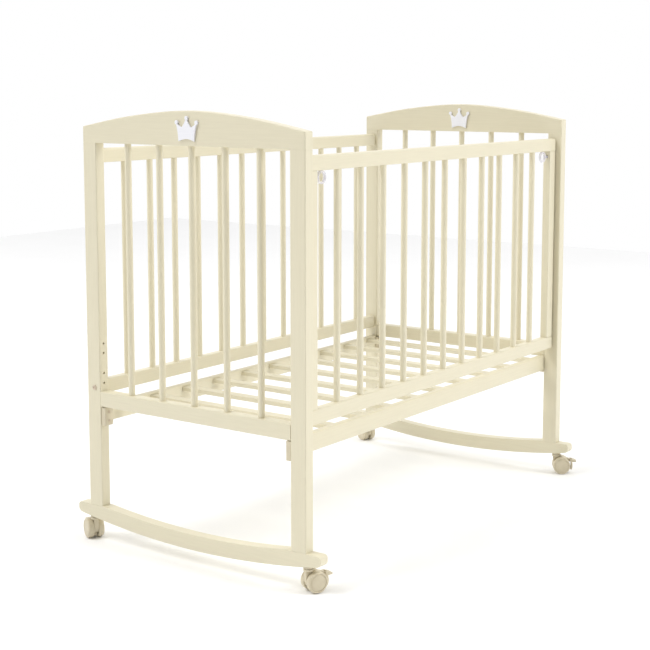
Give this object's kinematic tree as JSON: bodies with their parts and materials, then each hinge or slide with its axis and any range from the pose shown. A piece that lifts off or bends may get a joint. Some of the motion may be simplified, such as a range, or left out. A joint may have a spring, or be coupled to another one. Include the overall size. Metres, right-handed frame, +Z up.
{
  "type": "baby crib",
  "caption": "Wooden baby crib with arched end panels on rockers, swivel casters, a slatted mattress base and one side that slides down when its two latches are drawn.",
  "frame": {"origin": "on the floor, below the middle of the whole crib's box", "axes": "+X along the crib towards its right end, +Y towards the fixed back side, so the sliding side faces -Y, +Z up"},
  "size_m": [1.2968, 0.7778, 1.08],
  "materials": {
    "cream_enamel": "satin cream enamel over wood",
    "white_enamel": "satin white enamel over thin board",
    "beige_plastic": "moulded beige plastic, slightly glossy",
    "clear_plastic": "clear moulded plastic",
    "zinc_steel": "zinc-plated steel, lightly toned"
  },
  "bodies": {
    "crib_frame": {"post_front_left": "cream_enamel", "post_back_left": "cream_enamel", "crest_left": "cream_enamel", "end_lower_rail_and_spindles_left": "cream_enamel", "rocker_left": "cream_enamel", "crown_left": "white_enamel", "back_bolt_left": "zinc_steel", "post_front_right": "cream_enamel", "post_back_right": "cream_enamel", "crest_right": "cream_enamel", "end_lower_rail_and_spindles_right": "cream_enamel", "rocker_right": "cream_enamel", "crown_right": "white_enamel", "back_bolt_right": "zinc_steel", "back_top_rail": "cream_enamel", "back_lower_rail_and_spindles": "cream_enamel", "base_rail_front": "cream_enamel", "base_rail_back": "cream_enamel", "slat_01": "cream_enamel", "slat_02": "cream_enamel", "slat_03": "cream_enamel", "slat_04": "cream_enamel", "slat_05": "cream_enamel", "slat_06": "cream_enamel", "slat_07": "cream_enamel", "slat_08": "cream_enamel", "slat_09": "cream_enamel", "slat_10": "cream_enamel", "base_bracket_front_left": "beige_plastic", "base_bracket_back_left": "beige_plastic", "base_bracket_front_right": "beige_plastic", "base_bracket_back_right": "beige_plastic", "caster_front_left_stem": "zinc_steel", "caster_front_right_stem": "zinc_steel", "caster_back_left_stem": "zinc_steel", "caster_back_right_stem": "zinc_steel"},
    "drop_side": {"drop_side_top_rail": "cream_enamel", "drop_side_lower_rail_and_spindles": "cream_enamel", "drop_side_stile_left": "cream_enamel", "drop_side_stile_right": "cream_enamel"},
    "latch_left": {"latch_left": "clear_plastic"},
    "latch_right": {"latch_right": "clear_plastic"},
    "caster_front_left_swivel": {"caster_front_left_hood": "beige_plastic"},
    "caster_front_left_wheel_a": {"caster_front_left_wheel_a": "beige_plastic"},
    "caster_front_left_wheel_b": {"caster_front_left_wheel_b": "beige_plastic"},
    "caster_front_left_lever": {"caster_front_left_brake_lever": "beige_plastic"},
    "caster_front_right_swivel": {"caster_front_right_hood": "beige_plastic"},
    "caster_front_right_wheel_a": {"caster_front_right_wheel_a": "beige_plastic"},
    "caster_front_right_wheel_b": {"caster_front_right_wheel_b": "beige_plastic"},
    "caster_front_right_lever": {"caster_front_right_brake_lever": "beige_plastic"},
    "caster_back_left_swivel": {"caster_back_left_hood": "beige_plastic"},
    "caster_back_left_wheel_a": {"caster_back_left_wheel_a": "beige_plastic"},
    "caster_back_left_wheel_b": {"caster_back_left_wheel_b": "beige_plastic"},
    "caster_back_left_lever": {"caster_back_left_brake_lever": "beige_plastic"},
    "caster_back_right_swivel": {"caster_back_right_hood": "beige_plastic"},
    "caster_back_right_wheel_a": {"caster_back_right_wheel_a": "beige_plastic"},
    "caster_back_right_wheel_b": {"caster_back_right_wheel_b": "beige_plastic"},
    "caster_back_right_lever": {"caster_back_right_brake_lever": "beige_plastic"}
  },
  "joints": [
    {"name": "drop_side_slide", "type": "slide", "parent": "crib_frame", "child": "drop_side", "axis": [0, 0, -1], "range_m": [0, 0.17]},
    {"name": "latch_left_slide", "type": "slide", "parent": "drop_side", "child": "latch_left", "axis": [1, 0, 0], "range_m": [0, 0.009], "stiffness_N_per_m": 400, "springref_m": -0.004},
    {"name": "latch_right_slide", "type": "slide", "parent": "drop_side", "child": "latch_right", "axis": [-1, 0, 0], "range_m": [0, 0.009], "stiffness_N_per_m": 400, "springref_m": -0.004},
    {"name": "caster_front_left_swivel_turn", "type": "hinge", "parent": "crib_frame", "child": "caster_front_left_swivel", "pos_m": [-0.62657, -0.33485, 0.05], "axis": [0, 0, 1], "continuous": true},
    {"name": "caster_front_left_wheel_a_roll", "type": "hinge", "parent": "caster_front_left_swivel", "child": "caster_front_left_wheel_a", "pos_m": [-0.61287, -0.34095, 0.025], "axis": [0.4067, 0.9135, 0], "continuous": true},
    {"name": "caster_front_left_wheel_b_roll", "type": "hinge", "parent": "caster_front_left_swivel", "child": "caster_front_left_wheel_b", "pos_m": [-0.61287, -0.34095, 0.025], "axis": [0.4067, 0.9135, 0], "continuous": true},
    {"name": "caster_front_left_lever_press", "type": "hinge", "parent": "caster_front_left_swivel", "child": "caster_front_left_lever", "pos_m": [-0.59003, -0.35112, 0.04], "axis": [0.4067, 0.9135, 0], "range_deg": [0, 7]},
    {"name": "caster_front_right_swivel_turn", "type": "hinge", "parent": "crib_frame", "child": "caster_front_right_swivel", "pos_m": [0.60843, -0.33485, 0.05], "axis": [0, 0, 1], "continuous": true},
    {"name": "caster_front_right_wheel_a_roll", "type": "hinge", "parent": "caster_front_right_swivel", "child": "caster_front_right_wheel_a", "pos_m": [0.6166, -0.34743, 0.025], "axis": [0.8387, 0.5446, 0], "continuous": true},
    {"name": "caster_front_right_wheel_b_roll", "type": "hinge", "parent": "caster_front_right_swivel", "child": "caster_front_right_wheel_b", "pos_m": [0.6166, -0.34743, 0.025], "axis": [0.8387, 0.5446, 0], "continuous": true},
    {"name": "caster_front_right_lever_press", "type": "hinge", "parent": "caster_front_right_swivel", "child": "caster_front_right_lever", "pos_m": [0.63021, -0.3684, 0.04], "axis": [0.8387, 0.5446, 0], "range_deg": [0, 7]},
    {"name": "caster_back_left_swivel_turn", "type": "hinge", "parent": "crib_frame", "child": "caster_back_left_swivel", "pos_m": [-0.62657, 0.33215, 0.05], "axis": [0, 0, 1], "continuous": true},
    {"name": "caster_back_left_wheel_a_roll", "type": "hinge", "parent": "caster_back_left_swivel", "child": "caster_back_left_wheel_a", "pos_m": [-0.61953, 0.34539, 0.025], "axis": [-0.8829, 0.4695, 0], "continuous": true},
    {"name": "caster_back_left_wheel_b_roll", "type": "hinge", "parent": "caster_back_left_swivel", "child": "caster_back_left_wheel_b", "pos_m": [-0.61953, 0.34539, 0.025], "axis": [-0.8829, 0.4695, 0], "continuous": true},
    {"name": "caster_back_left_lever_press", "type": "hinge", "parent": "caster_back_left_swivel", "child": "caster_back_left_lever", "pos_m": [-0.60779, 0.36747, 0.04], "axis": [-0.8829, 0.4695, 0], "range_deg": [0, 7]},
    {"name": "caster_back_right_swivel_turn", "type": "hinge", "parent": "crib_frame", "child": "caster_back_right_swivel", "pos_m": [0.60843, 0.33215, 0.05], "axis": [0, 0, 1], "continuous": true},
    {"name": "caster_back_right_wheel_a_roll", "type": "hinge", "parent": "caster_back_right_swivel", "child": "caster_back_right_wheel_a", "pos_m": [0.61477, 0.34574, 0.025], "axis": [-0.9063, 0.4226, 0], "continuous": true},
    {"name": "caster_back_right_wheel_b_roll", "type": "hinge", "parent": "caster_back_right_swivel", "child": "caster_back_right_wheel_b", "pos_m": [0.61477, 0.34574, 0.025], "axis": [-0.9063, 0.4226, 0], "continuous": true},
    {"name": "caster_back_right_lever_press", "type": "hinge", "parent": "caster_back_right_swivel", "child": "caster_back_right_lever", "pos_m": [0.62533, 0.3684, 0.04], "axis": [-0.9063, 0.4226, 0], "range_deg": [0, 7]}
  ]
}
